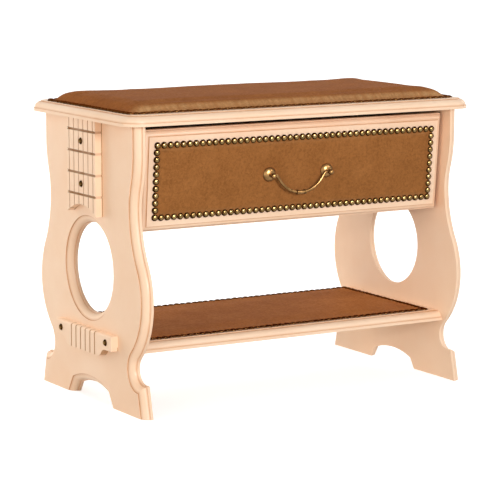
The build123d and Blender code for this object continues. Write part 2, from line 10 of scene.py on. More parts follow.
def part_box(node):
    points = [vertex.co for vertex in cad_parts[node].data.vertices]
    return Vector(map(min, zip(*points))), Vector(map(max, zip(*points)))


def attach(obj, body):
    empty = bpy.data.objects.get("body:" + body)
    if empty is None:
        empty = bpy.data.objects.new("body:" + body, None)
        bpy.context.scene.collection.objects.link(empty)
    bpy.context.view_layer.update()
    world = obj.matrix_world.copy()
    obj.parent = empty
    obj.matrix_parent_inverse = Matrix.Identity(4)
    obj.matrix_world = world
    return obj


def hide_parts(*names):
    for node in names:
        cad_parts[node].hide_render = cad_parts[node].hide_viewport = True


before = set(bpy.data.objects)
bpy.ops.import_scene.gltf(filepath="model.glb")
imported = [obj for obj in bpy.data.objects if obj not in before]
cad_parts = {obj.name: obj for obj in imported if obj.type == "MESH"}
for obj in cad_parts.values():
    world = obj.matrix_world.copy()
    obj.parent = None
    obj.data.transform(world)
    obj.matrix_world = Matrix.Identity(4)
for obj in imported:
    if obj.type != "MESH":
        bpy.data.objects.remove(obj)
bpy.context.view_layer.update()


# Side panels: two boards sawn to a guitar outline, with a quirk, a round and a second quirk worked round
# the outside, the foot arch and the sound hole. Sprayed ivory, then glazed brown and wiped, so the quirks
# stay dark.
def linear(hex_colour):
    channels = [int(hex_colour[i : i + 2], 16) / 255 for i in (1, 3, 5)]
    return [c / 12.92 if c <= 0.04045 else ((c + 0.055) / 1.055) ** 2.4 for c in channels] + [1.0]


def add_node(tree, kind, links, **settings):
    made = tree.nodes.new(kind)
    for setting, value in settings.items():
        setattr(made, setting, value)
    for socket, value in links.items():
        if isinstance(value, bpy.types.NodeSocket):
            tree.links.new(value, made.inputs[socket])
        else:
            made.inputs[socket].default_value = value
    return made


def blank_finish(name):
    finish = bpy.data.materials.new(name)
    finish.use_nodes = True
    finish.node_tree.nodes.clear()
    return finish, finish.node_tree


# Satin ivory paint: pale, faintly uneven in tone, with soft highlights. Each glaze mark, some of them painted
# shade, has a strength and ranges along a direction; where all its ranges hold, the brown shows at that
# strength.
def ivory_paint(name, glaze_and_shade, glaze_colour="#BF8048"):
    paint, tree = blank_finish(name)
    place = add_node(tree, "ShaderNodeTexCoord", {}).outputs["Object"]
    glaze = None
    for strength, ranges in glaze_and_shade:
        share = None
        for along, low, high, fade in ranges:
            reach = add_node(tree, "ShaderNodeVectorMath", {0: place, 1: along}, operation="DOT_PRODUCT")
            for edge, start, end in ((low, 0.0, 1.0), (high, 1.0, 0.0)):
                side = add_node(
                    tree,
                    "ShaderNodeMapRange",
                    {
                        "Value": reach.outputs["Value"],
                        "From Min": edge - fade / 2,
                        "From Max": edge + fade / 2,
                        "To Min": start if share else start * strength,
                        "To Max": end if share else end * strength,
                    },
                    interpolation_type="SMOOTHSTEP",
                ).outputs["Result"]
                if share:
                    both = add_node(tree, "ShaderNodeMath", {0: share, 1: side}, operation="MULTIPLY")
                    side = both.outputs[0]
                share = side
        if glaze:
            share = add_node(tree, "ShaderNodeMath", {0: glaze, 1: share}, operation="MAXIMUM").outputs[0]
        glaze = share
    # Wiping leaves the glaze thicker and thinner over about 30 mm, and the coat duller where it is thick
    wiped = add_node(
        tree,
        "ShaderNodeTexNoise",
        {"Vector": place, "Scale": 1 / 0.030, "Detail": 4.0, "Roughness": 0.6},
    )
    patchy = add_node(
        tree,
        "ShaderNodeMapRange",
        {"Value": wiped.outputs["Fac"], "From Min": 0.3, "From Max": 0.7, "To Min": 0.70, "To Max": 1.0},
    )
    film = add_node(tree, "ShaderNodeMath", {0: glaze, 1: patchy.outputs["Result"]}, operation="MULTIPLY")
    # The coat's own tone drifts over about 110 mm
    tone = add_node(
        tree,
        "ShaderNodeTexNoise",
        {"Vector": place, "Scale": 1 / 0.110, "Detail": 5.0, "Roughness": 0.55},
    )
    ivory = add_node(tree, "ShaderNodeValToRGB", {"Fac": tone.outputs["Fac"]})
    ivory.color_ramp.elements[0].position = 0.32
    ivory.color_ramp.elements[0].color = linear("#F4CFAD")
    ivory.color_ramp.elements[1].position = 0.68
    ivory.color_ramp.elements[1].color = linear("#F8D8B9")
    brown = add_node(
        tree,
        "ShaderNodeMix",
        {0: film.outputs[0], 6: ivory.outputs["Color"], 7: linear(glaze_colour)},
        data_type="RGBA",
    )
    dull = add_node(
        tree,
        "ShaderNodeMapRange",
        {"Value": wiped.outputs["Fac"], "From Min": 0.3, "From Max": 0.7, "To Min": 0.36, "To Max": 0.48},
    )
    # Sprayed paint levels with a faint orange peel of about 3 mm
    peel = add_node(tree, "ShaderNodeTexNoise", {"Vector": place, "Scale": 1 / 0.003, "Detail": 1.0})
    relief = add_node(
        tree, "ShaderNodeBump", {"Height": peel.outputs["Fac"], "Strength": 0.10, "Distance": 0.0004}
    )
    finish = add_node(
        tree,
        "ShaderNodeBsdfPrincipled",
        {
            "Base Color": brown.outputs[2],
            "Roughness": dull.outputs["Result"],
            "Normal": relief.outputs["Normal"],
            "IOR": 1.48,
            "Specular IOR Level": 0.2,
        },
    )
    add_node(tree, "ShaderNodeOutputMaterial", {"Surface": finish.outputs["BSDF"]})
    return paint


# A copy of a solid with its triangles joined, rounds shaded smooth and corners kept crisp
def finished(node_name, body, finish, crisp=32):
    same_point = 2e-6
    mesh = bpy.data.meshes.new(node_name + "_finished")
    joined = bmesh.new()
    joined.from_mesh(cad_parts[node_name].data)
    bmesh.ops.remove_doubles(joined, verts=joined.verts, dist=same_point)
    for face in joined.faces:
        face.smooth = True
    for edge in joined.edges:
        edge.smooth = edge.calc_face_angle(math.pi) < math.radians(crisp)
    joined.to_mesh(mesh)
    joined.free()
    if "custom_normal" in mesh.attributes:
        mesh.attributes.remove(mesh.attributes["custom_normal"])
    mesh.materials.clear()
    mesh.materials.append(finish)
    piece = bpy.data.objects.new(node_name + "_finished", mesh)
    bpy.context.collection.objects.link(piece)
    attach(piece, body)
    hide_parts(node_name)
    return piece


quirk = 0.0014
panel_lip = 0.0043


# The moulding of every board keeps glaze in the quirk under its face and in the ledge at its foot, each as
# a fine dark line inside a wider faint one
def moulding_glaze(out_of_face, face, ledge):
    quirk_floor = face - quirk
    return [
        (1.0, [(out_of_face, quirk_floor - 0.0001, quirk_floor + 0.0006, 0.0003)]),
        (0.28, [(out_of_face, quirk_floor - 0.0006, quirk_floor + 0.0012, 0.0008)]),
        (0.85, [(out_of_face, ledge + 0.0002, ledge + 0.0009, 0.0006)]),
        (0.30, [(out_of_face, ledge - 0.0001, ledge + 0.0024, 0.0018)]),
    ]


panel_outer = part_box("right_side_panel")[1].x
panel_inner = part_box("right_side_panel")[0].x
for side, outward in (("left", (-1, 0, 0)), ("right", (1, 0, 0))):
    panel_glaze = moulding_glaze(outward, panel_outer, panel_inner + panel_lip)
    panel_paint = ivory_paint(side + "_panel_ivory_paint", panel_glaze)
    finished(side + "_side_panel", "frame", panel_paint)


# Fretboards: painted strips glued on the panels above the sound holes, scored along for the strings and
# across for the frets. Glaze fills the scored lines, bleeds a little over their edges and marks the joint.
fretboard_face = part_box("right_fretboard")[1].x
fretboard_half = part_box("right_fretboard")[1].y
fretboard_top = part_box("right_fretboard")[1].z
across = (0, 1, 0)
up = (0, 0, 1)
string_spacing = 0.016
string_half_width = 0.0011
strings = [(i - 2.5) * string_spacing for i in range(6)]
first_fret = fretboard_top - 0.0185
fret_spacing = 0.033
fret_half_width = 0.0019
fret_end_margin = 0.0014
frets = [first_fret - i * fret_spacing for i in range(4)]
for side, outward in (("left", (-1, 0, 0)), ("right", (1, 0, 0))):
    on_top = (outward, panel_outer + 0.004, fretboard_face + 0.001, 0.0002)
    between_sides = (across, fret_end_margin - fretboard_half, fretboard_half - fret_end_margin, 0.0006)
    fretboard_hollows = [(1.0, [(outward, panel_outer - 0.001, panel_outer + 0.0011, 0.0009)])]
    for string in strings:
        scored = (across, string - string_half_width, string + string_half_width, 0.0009)
        fretboard_hollows.append((0.62, [on_top, scored]))
    for fret in frets:
        fret_band = (up, fret - fret_half_width, fret + fret_half_width, 0.0007)
        fretboard_hollows.append((1.0, [on_top, between_sides, fret_band]))
        fretboard_hollows.append((0.28, [(outward, panel_outer, fretboard_face, 0.0002), fret_band]))
    fretboard_paint = ivory_paint(side + "_fretboard_ivory_paint", fretboard_hollows, glaze_colour="#8C5600")
    finished(side + "_fretboard", "frame", fretboard_paint)


# Bridges: painted blocks with two low wings, glued below the sound holes. Six saw cuts for the strings run
# down the block, filled with glaze. Along the lower joint and under the wings it is glaze and painted shade.
bridge_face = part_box("right_bridge")[1].x
bridge_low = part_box("right_bridge")[0].z
wing_rise = 0.013
wing_low = bridge_low + wing_rise
block_half = 0.048
cut_half_width = 0.0016
for side, outward in (("left", (-1, 0, 0)), ("right", (1, 0, 0))):
    proud = (outward, panel_outer - 0.001, bridge_face - 0.0005, 0.0006)
    # Painted shade: the lower joint is glazed darker, for the shade under the bridge as well as glaze in the
    # joint
    bridge_glaze_and_shade = [
        (
            0.8,
            [
                (outward, panel_outer - 0.001, panel_outer + 0.0014, 0.0012),
                (up, bridge_low - 0.001, wing_low + 0.006, 0.004),
            ],
        )
    ]
    # Painted shade: under the wings, past the block, the glaze also stands in for the shade the wings cast
    shade_below_wing = (up, bridge_low - 0.001, wing_low + 0.0004, 0.0008)
    for end in ((0, -1, 0), (0, 1, 0)):
        past_block = (end, block_half - 0.001, 0.1, 0.001)
        bridge_glaze_and_shade.append((0.6, [proud, past_block, shade_below_wing]))
    on_block = (outward, panel_outer + 0.002, bridge_face + 0.001, 0.0006)
    for string in strings:
        cut = (across, string - cut_half_width, string + cut_half_width, 0.0009)
        bridge_glaze_and_shade.append((0.75, [on_block, cut]))
    bridge_paint = ivory_paint(side + "_bridge_ivory_paint", bridge_glaze_and_shade, glaze_colour="#A06A22")
    finished(side + "_bridge", "frame", bridge_paint)


# Ornament nails: bronzed upholstery nails, two as fret marks and two in the bridge of each side, driven home.
# Each head is dark at its rim and rubbed brighter on its crown.
def bronzed_steel(name, dark, rubbed_bright):
    bronze, tree = blank_finish(name)
    place = add_node(tree, "ShaderNodeTexCoord", {}).outputs["Object"]
    crown = add_node(tree, "ShaderNodeAttribute", {}, attribute_name="crown").outputs["Fac"]
    # The bronzing is spotted over about 6 mm, so no two heads wear alike
    spots = add_node(tree, "ShaderNodeTexNoise", {"Vector": place, "Scale": 1 / 0.006, "Detail": 3.0})
    rubbed = add_node(
        tree,
        "ShaderNodeMapRange",
        {"Value": crown, "From Min": 0.55, "From Max": 1.0},
        interpolation_type="SMOOTHSTEP",
    )
    wear_and_sheen = add_node(
        tree,
        "ShaderNodeMath",
        {0: rubbed.outputs["Result"], 1: spots.outputs["Fac"]},
        operation="MULTIPLY",
    )
    colour = add_node(
        tree,
        "ShaderNodeMix",
        {0: wear_and_sheen.outputs[0], 6: linear(dark), 7: linear(rubbed_bright)},
        data_type="RGBA",
    )
    dull = add_node(
        tree,
        "ShaderNodeMapRange",
        {"Value": spots.outputs["Fac"], "From Min": 0.3, "From Max": 0.7, "To Min": 0.18, "To Max": 0.30},
    )
    finish = add_node(
        tree,
        "ShaderNodeBsdfPrincipled",
        {
            "Base Color": colour.outputs[2],
            "Roughness": dull.outputs["Result"],
            "Metallic": 1.0,
            "Specular Tint": linear("#A47E56"),
        },
    )
    add_node(tree, "ShaderNodeOutputMaterial", {"Surface": finish.outputs["BSDF"]})
    return bronze


nail_bronze = bronzed_steel("bronzed_steel_nails", "#3A240A", "#AE9262")
nail_head_height = 0.0034
above_bridge = 0.2
for side in ("left", "right"):
    heads = finished(side + "_ornament_nails", "frame", nail_bronze, crisp=60)
    crown = heads.data.attributes.new("crown", "FLOAT", "POINT")
    for vertex in heads.data.vertices:
        under_head = fretboard_face if vertex.co.z > above_bridge else bridge_face
        crown.data[vertex.index].value = max(0.0, (abs(vertex.co.x) - under_head) / nail_head_height)


# Seat board: a painted board with rounded corners, moulded all round like the panels. It lies on their top
# ends and is held there by dowels.
seat_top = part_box("seat_board")[1].z
seat_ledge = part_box("seat_board")[0].z + panel_lip
seat_paint = ivory_paint("seat_board_ivory_paint", moulding_glaze(up, seat_top, seat_ledge))
finished("seat_board", "frame", seat_paint)


# Seat pad: brown leather drawn over foam and nailed down round its edge, so it rises steeply from the nails
# and is nearly flat across the top. The grained hide has a broken warm tone and a dull sheen.
def grained_leather(name, dark, light, wear_and_sheen):
    hide, tree = blank_finish(name)
    place = add_node(tree, "ShaderNodeTexCoord", {}).outputs["Object"]
    # Dye lies unevenly over about 40 mm; the 1 mm crinkles of the grain are drawn 4 mm wide to show
    cloud = add_node(
        tree,
        "ShaderNodeTexNoise",
        {"Vector": place, "Scale": 1 / 0.040, "Detail": 4.0, "Roughness": 0.5},
    )
    crinkle = add_node(
        tree,
        "ShaderNodeTexNoise",
        {"Vector": place, "Scale": 1 / 0.004, "Detail": 3.0, "Roughness": 0.65, "Distortion": 0.8},
    )
    dye = add_node(tree, "ShaderNodeValToRGB", {"Fac": cloud.outputs["Fac"]})
    dye.color_ramp.elements[0].position = 0.25
    dye.color_ramp.elements[0].color = linear(dark)
    dye.color_ramp.elements[1].position = 0.75
    dye.color_ramp.elements[1].color = linear(light)
    # Painted sheen: the slopes to the front and the back are painted paler, in streaks about 9 mm wide
    slope_sheen = add_node(tree, "ShaderNodeAttribute", {}, attribute_name="slope_sheen").outputs["Fac"]
    along = add_node(tree, "ShaderNodeAttribute", {}, attribute_name="along").outputs["Fac"]
    streaks = add_node(
        tree, "ShaderNodeTexNoise", {"W": along, "Scale": 1 / 0.009, "Detail": 2.0}, noise_dimensions="1D"
    )
    streaky = add_node(
        tree,
        "ShaderNodeMapRange",
        {"Value": streaks.outputs["Fac"], "From Min": 0.3, "From Max": 0.7, "To Min": 0.55, "To Max": 1.0},
    )
    sheen_share = add_node(
        tree, "ShaderNodeMath", {0: slope_sheen, 1: streaky.outputs["Result"]}, operation="MULTIPLY"
    )
    sheened_dye = add_node(
        tree,
        "ShaderNodeMix",
        {0: sheen_share.outputs[0], 6: dye.outputs["Color"], 7: linear(wear_and_sheen)},
        data_type="RGBA",
    )
    grain = add_node(
        tree,
        "ShaderNodeMapRange",
        {"Value": crinkle.outputs["Fac"], "From Min": 0.3, "From Max": 0.7, "To Min": 0.80, "To Max": 1.20},
    )
    colour = add_node(
        tree,
        "ShaderNodeMix",
        {0: 1.0, 6: sheened_dye.outputs[2], 7: grain.outputs["Result"]},
        data_type="RGBA",
        blend_type="MULTIPLY",
    )
    dull = add_node(
        tree,
        "ShaderNodeMapRange",
        {"Value": crinkle.outputs["Fac"], "From Min": 0.3, "From Max": 0.7, "To Min": 0.62, "To Max": 0.48},
    )
    relief = add_node(
        tree,
        "ShaderNodeBump",
        {"Height": crinkle.outputs["Fac"], "Strength": 0.5, "Distance": 0.0005},
    )
    finish = add_node(
        tree,
        "ShaderNodeBsdfPrincipled",
        {
            "Base Color": colour.outputs[2],
            "Roughness": dull.outputs["Result"],
            "Normal": relief.outputs["Normal"],
            "IOR": 1.45,
            "Specular IOR Level": 0.01,
        },
    )
    add_node(tree, "ShaderNodeOutputMaterial", {"Surface": finish.outputs["BSDF"]})
    return hide


# A leather cover lying flat on its board: a rim as thick as the hide under the nails, then a rise over the
# padding to the crown. Its grid is closer near the nails, and its rings have round corners. The padding's
# push is simulated with the nailed rim held, and no point moves more than the give. Puckers run in from
# the nails.
def padded_cover(name, length, depth, corner, hide, rim, border, crown, fullness, step, give, push, pucker):
    past_nails = (0.0, 0.0008, 0.002, 0.004, 0.007, 0.011, 0.016, 0.022)
    near = [0.0, 0.45 * rim] + [rim + d for d in past_nails]

    def stations(half):
        count = max(2, round((2 * half - 2 * near[-1]) / step))
        middle = [near[-1] - half + (2 * half - 2 * near[-1]) * i / count for i in range(1, count)]
        return [d - half for d in near] + middle + [half - d for d in reversed(near)]

    def rise(inset):
        s = min(1.0, max(0.0, (inset - rim) / border))
        return hide + (crown - hide) * (1 - (1 - s) ** fullness)

    columns = stations(length / 2)
    rows = stations(depth / 2)
    points = []
    insets = []
    for y in rows:
        for x in columns:
            dx, dy = length / 2 - abs(x), depth / 2 - abs(y)
            inset = min(dx, dy)
            past = max(dx, dy) - inset
            if past < corner:
                turn = math.pi / 4 * (1 + past / corner)
                short = inset + corner * (1 - math.sin(turn))
                long = inset + corner * (1 - math.cos(turn))
                dx, dy = (short, long) if dx <= dy else (long, short)
            points.append(
                (math.copysign(length / 2 - dx, x), math.copysign(depth / 2 - dy, y), rise(inset))
            )
            insets.append(inset)
    wide = len(columns)
    quads = [
        (j * wide + i, j * wide + i + 1, (j + 1) * wide + i + 1, (j + 1) * wide + i)
        for j in range(len(rows) - 1)
        for i in range(wide - 1)
    ]
    mesh = bpy.data.meshes.new(name)
    mesh.from_pydata(points, [], quads)
    piece = bpy.data.objects.new(name, mesh)
    bpy.context.collection.objects.link(piece)
    held = piece.vertex_groups.new(name="nailed_rim")
    held.add([i for i, inset in enumerate(insets) if inset <= rim], 1.0, "REPLACE")
    cloth = piece.modifiers.new("stuffing", "CLOTH")
    cloth.settings.quality = 6
    cloth.settings.mass = 0.4
    cloth.settings.tension_stiffness = 40
    cloth.settings.compression_stiffness = 40
    cloth.settings.shear_stiffness = 20
    cloth.settings.bending_stiffness = 4
    cloth.settings.vertex_group_mass = "nailed_rim"
    cloth.settings.pin_stiffness = 1.0
    cloth.settings.use_pressure = True
    cloth.settings.uniform_pressure_force = push
    cloth.settings.effector_weights.gravity = 0.0
    cloth.collision_settings.use_collision = False
    ticks = 20
    cloth.point_cache.frame_start = 1
    cloth.point_cache.frame_end = ticks
    for tick in range(1, ticks + 1):
        bpy.context.scene.frame_set(tick)
    settled = piece.evaluated_get(bpy.context.evaluated_depsgraph_get())
    swollen = settled.to_mesh()
    moved = [Vector(v.co) - Vector(p) for v, p in zip(swollen.vertices, points)]
    settled.to_mesh_clear()
    piece.modifiers.remove(cloth)
    bpy.context.scene.frame_set(1)
    for vertex, shift in zip(mesh.vertices, moved):
        vertex.co += shift if shift.length <= give else shift * (give / shift.length)
    finer = piece.modifiers.new("finer", "SUBSURF")
    finer.levels = finer.render_levels = 1
    sheet = bpy.data.meshes.new_from_object(piece.evaluated_get(bpy.context.evaluated_depsgraph_get()))
    piece.modifiers.remove(finer)
    piece.vertex_groups.clear()
    piece.data = sheet
    bpy.data.meshes.remove(mesh)
    sheet.name = name
    slope_sheen = sheet.attributes.new("slope_sheen", "FLOAT", "POINT")
    along_edge = sheet.attributes.new("along", "FLOAT", "POINT")
    for vertex in sheet.vertices:
        dx, dy = length / 2 - abs(vertex.co.x), depth / 2 - abs(vertex.co.y)
        way_in = (min(dx, dy) - rim) / border
        run = vertex.co.x if dy < dx else length + vertex.co.y
        along_edge.data[vertex.index].value = run
        # The painted sheen lies on the slopes to the front and the back, in full from about 53 degrees
        facing = vertex.normal
        steep = min(1.0, 2.5 * (1 - facing.z))
        slope_sheen.data[vertex.index].value = steep * abs(facing.y) / (facing.xy.length + 1e-6)
        if 0 < way_in < 1:
            fold = noise.noise(Vector((run / pucker_width, length, 0)))
            vertex.co.z += pucker * fold * 4 * way_in * (1 - way_in)
    # The skirt drops from the rim to the board, and the underside closes it. The rim is walked in order, so
    # that each run gives the same faces.
    whole = bmesh.new()
    whole.from_mesh(sheet)
    edge = next(e for e in whole.edges if e.is_boundary)
    first, last = edge.verts
    rim_line = [first]
    while last != first:
        rim_line.append(last)
        edge = next(e for e in last.link_edges if e.is_boundary and e != edge)
        last = edge.other_vert(last)
    foot_line = [whole.verts.new((v.co.x, v.co.y, 0.0), v) for v in rim_line]
    for i in range(len(rim_line)):
        whole.faces.new((rim_line[i - 1], rim_line[i], foot_line[i], foot_line[i - 1]))
    whole.faces.new(foot_line)
    bmesh.ops.recalc_face_normals(whole, faces=whole.faces)
    sharp_fold = math.radians(50)
    for face in whole.faces:
        face.smooth = True
    for edge in whole.edges:
        edge.smooth = edge.calc_face_angle(0.0) < sharp_fold
    whole.to_mesh(sheet)
    whole.free()
    return piece


pad_leather = grained_leather("pad_brown_leather", "#8E542A", "#9C5E2E", wear_and_sheen="#C39868")
pad_low, pad_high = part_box("seat_pad")
pucker_width = 0.018
hide_thickness = 0.0015
nailed_width = 0.0096
hidden_edge = 0.0025
room_to_swell = 0.0035
seat_pad = padded_cover(
    "seat_pad_cushion",
    length=pad_high.x - pad_low.x - 2 * hidden_edge,
    depth=pad_high.y - pad_low.y - 2 * hidden_edge,
    corner=0.012,
    hide=hide_thickness,
    rim=nailed_width - hidden_edge,
    border=0.015,
    crown=pad_high.z - pad_low.z - room_to_swell,
    fullness=1.9,
    step=0.008,
    give=0.002,
    push=2.0,
    pucker=0.0009,
)
seat_pad.data.transform(Matrix.Translation((0, 0, pad_low.z)))
seat_pad.data.materials.append(pad_leather)
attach(seat_pad, "frame")
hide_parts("seat_pad")


# Seat nails: bronzed domed heads side by side round the pad, hammered through the rim of the leather by
# hand, so each leans and is turned a little differently.
corner_steps = 12
head_segments = 10
head_rings = 6
underside_bulge = 0.12
any_turn = 3.14
nail_row = bpy.data.node_groups.new("nail_row", "GeometryNodeTree")
for label, kind, value in (
    ("Length", "NodeSocketFloat", 0.5),
    ("Depth", "NodeSocketFloat", 0.25),
    ("Corner", "NodeSocketFloat", 0.02),
    ("Count", "NodeSocketInt", 100),
    ("Head Radius", "NodeSocketFloat", 0.0055),
    ("Head Height", "NodeSocketFloat", nail_head_height + 0.0006),
    ("Lean", "NodeSocketFloat", 0.10),
    ("Seed", "NodeSocketInt", 5),
    ("Bronze", "NodeSocketMaterial", None),
):
    made = nail_row.interface.new_socket(label, in_out="INPUT", socket_type=kind)
    if value is not None:
        made.default_value = value
nail_row.interface.new_socket("Nails", in_out="OUTPUT", socket_type="NodeSocketGeometry")
given = add_node(nail_row, "NodeGroupInput", {}).outputs
line = add_node(
    nail_row,
    "GeometryNodeCurvePrimitiveQuadrilateral",
    {"Width": given["Length"], "Height": given["Depth"]},
    mode="RECTANGLE",
)
rounded = add_node(
    nail_row,
    "GeometryNodeFilletCurve",
    {"Curve": line.outputs["Curve"], "Radius": given["Corner"], "Count": corner_steps},
    mode="POLY",
)
spaced = add_node(
    nail_row,
    "GeometryNodeResampleCurve",
    {"Curve": rounded.outputs["Curve"], "Count": given["Count"]},
    mode="COUNT",
)
# A ball of radius 1 keeps its upper half and loses most of its lower half, which sits on the leather
ball = add_node(
    nail_row,
    "GeometryNodeMeshUVSphere",
    {"Segments": head_segments, "Rings": head_rings, "Radius": 1.0},
)
on_ball = add_node(nail_row, "GeometryNodeInputPosition", {})
parts = add_node(nail_row, "ShaderNodeSeparateXYZ", {0: on_ball.outputs[0]})
above = add_node(nail_row, "ShaderNodeMath", {0: parts.outputs["Z"], 1: 0.0}, operation="MAXIMUM")
below = add_node(nail_row, "ShaderNodeMath", {0: parts.outputs["Z"], 1: 0.0}, operation="MINIMUM")
underside = add_node(
    nail_row, "ShaderNodeMath", {0: below.outputs[0], 1: underside_bulge}, operation="MULTIPLY"
)
domed = add_node(nail_row, "ShaderNodeMath", {0: above.outputs[0], 1: underside.outputs[0]}, operation="ADD")
on_dome = add_node(
    nail_row,
    "ShaderNodeCombineXYZ",
    {"X": parts.outputs["X"], "Y": parts.outputs["Y"], "Z": domed.outputs[0]},
)
dome = add_node(
    nail_row,
    "GeometryNodeSetPosition",
    {"Geometry": ball.outputs["Mesh"], "Position": on_dome.outputs[0]},
)
smooth_dome = add_node(
    nail_row,
    "GeometryNodeSetShadeSmooth",
    {"Geometry": dome.outputs["Geometry"], "Shade Smooth": True},
)
head = add_node(
    nail_row,
    "GeometryNodeStoreNamedAttribute",
    {"Geometry": smooth_dome.outputs["Geometry"], "Name": "crown", "Value": domed.outputs[0]},
    data_type="FLOAT",
    domain="POINT",
)
head_size = add_node(
    nail_row,
    "ShaderNodeCombineXYZ",
    {"X": given["Head Radius"], "Y": given["Head Radius"], "Z": given["Head Height"]},
)
lean_back = add_node(nail_row, "ShaderNodeMath", {0: given["Lean"], 1: -1.0}, operation="MULTIPLY")
lean_high = add_node(
    nail_row, "ShaderNodeCombineXYZ", {"X": given["Lean"], "Y": given["Lean"], "Z": any_turn}
)
lean_low = add_node(
    nail_row,
    "ShaderNodeCombineXYZ",
    {"X": lean_back.outputs[0], "Y": lean_back.outputs[0], "Z": -any_turn},
)
leaning = add_node(
    nail_row,
    "FunctionNodeRandomValue",
    {"Min": lean_low.outputs[0], "Max": lean_high.outputs[0], "Seed": given["Seed"]},
    data_type="FLOAT_VECTOR",
)
driven = add_node(
    nail_row,
    "GeometryNodeInstanceOnPoints",
    {
        "Points": spaced.outputs["Curve"],
        "Instance": head.outputs["Geometry"],
        "Rotation": leaning.outputs["Value"],
        "Scale": head_size.outputs[0],
    },
)
real = add_node(nail_row, "GeometryNodeRealizeInstances", {"Geometry": driven.outputs["Instances"]})
coated = add_node(
    nail_row,
    "GeometryNodeSetMaterial",
    {"Geometry": real.outputs["Geometry"], "Material": given["Bronze"]},
)
add_node(nail_row, "NodeGroupOutput", {"Nails": coated.outputs["Geometry"]})


def driven_nails(node_name, body, place, bronze, **sizes):
    marker = bpy.data.objects.new(node_name + "_row", bpy.data.meshes.new(node_name + "_row"))
    bpy.context.collection.objects.link(marker)
    row = marker.modifiers.new("nail_row", "NODES")
    row.node_group = nail_row
    sockets = {s.name: s.identifier for s in nail_row.interface.items_tree if s.in_out == "INPUT"}
    row[sockets["Bronze"]] = bronze
    for label, value in sizes.items():
        row[sockets[label.replace("_", " ").title()]] = value
    marker.update_tag()
    mesh = bpy.data.meshes.new_from_object(marker.evaluated_get(bpy.context.evaluated_depsgraph_get()))
    marker.modifiers.remove(row)
    bpy.data.objects.remove(marker)
    mesh.transform(place)
    piece = bpy.data.objects.new(node_name + "_domed", mesh)
    bpy.context.collection.objects.link(piece)
    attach(piece, body)
    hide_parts(node_name)
    return piece


# Sitting and shoes have rubbed the flat heads of the seat and the shelf to a lighter brown
worn_bronze = bronzed_steel("worn_bronzed_steel_nails", "#583A1E", "#826440")
nail_radius = 0.0053
nail_flat = nail_radius * math.cos(math.radians(30))
nail_sunk = 0.0008
low_head = 0.0024
wide_head = 0.0060
nails_low, nails_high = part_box("seat_nails")
driven_nails(
    "seat_nails",
    "frame",
    Matrix.Translation((0, 0, nails_low.z - nail_sunk)),
    worn_bronze,
    length=nails_high.x - nails_low.x - 2 * nail_radius,
    depth=nails_high.y - nails_low.y - 2 * nail_flat,
    corner=0.012,
    count=155,
    head_radius=wide_head,
    head_height=low_head,
    seed=3,
)


# Shelf: a painted board dowelled between the panels, low enough to leave room for shoes. The moulding runs
# along its front and back edges.
shelf_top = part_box("shelf")[1].z
shelf_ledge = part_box("shelf")[0].z + panel_lip
shelf_paint = ivory_paint("shelf_ivory_paint", moulding_glaze(up, shelf_top, shelf_ledge))
finished("shelf", "frame", shelf_paint)


# Shelf leather: one hide over a thin wadding, nailed round its edge like the seat's. It lies almost flat,
# with a slight rise inside the nails.
# Painted light: this hide is a lighter copy of the seat's brown leather, for light under the drawer
shelf_hide = grained_leather("shelf_brown_leather", "#9E6032", "#AC6C3A", wear_and_sheen="#C39868")
cover_low, cover_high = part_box("shelf_leather")
shelf_cover = padded_cover(
    "shelf_leather_cover",
    length=cover_high.x - cover_low.x - 2 * hidden_edge,
    depth=cover_high.y - cover_low.y - 2 * hidden_edge,
    corner=0.002,
    hide=hide_thickness,
    rim=nailed_width - hidden_edge,
    border=0.008,
    crown=0.0029,
    fullness=2.6,
    step=0.009,
    give=0.0008,
    push=0.4,
    pucker=0.0004,
)
shelf_cover.data.transform(Matrix.Translation((0, 0, cover_low.z)))
shelf_cover.data.materials.append(shelf_hide)
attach(shelf_cover, "frame")
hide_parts("shelf_leather")


# Shelf nails: the same bronzed heads, hammered side by side round the leather of the shelf and worn as those
# of the seat are.
nails_low, nails_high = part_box("shelf_nails")
driven_nails(
    "shelf_nails",
    "frame",
    Matrix.Translation((0, 0, nails_low.z - nail_sunk)),
    worn_bronze,
    length=nails_high.x - nails_low.x - 2 * nail_radius,
    depth=nails_high.y - nails_low.y - 2 * nail_flat,
    corner=0.0005,
    count=138,
    head_radius=wide_head,
    head_height=low_head,
    seed=7,
)


# Back rail, runners, dowels and drawer box: a painted board across the back, beech strips screwed inside the
# panels, and a dowelled beech box with a hardboard bottom. All but the rail are bare wood.
def coat(node_name, finish):
    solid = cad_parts[node_name].data
    solid.materials.clear()
    solid.materials.append(finish)


rail_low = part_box("back_rail")[0].z
rail_paint = ivory_paint("rail_ivory_paint", [(0.35, [(up, rail_low - 0.001, rail_low + 0.0008, 0.0012)])])
coat("back_rail", rail_paint)


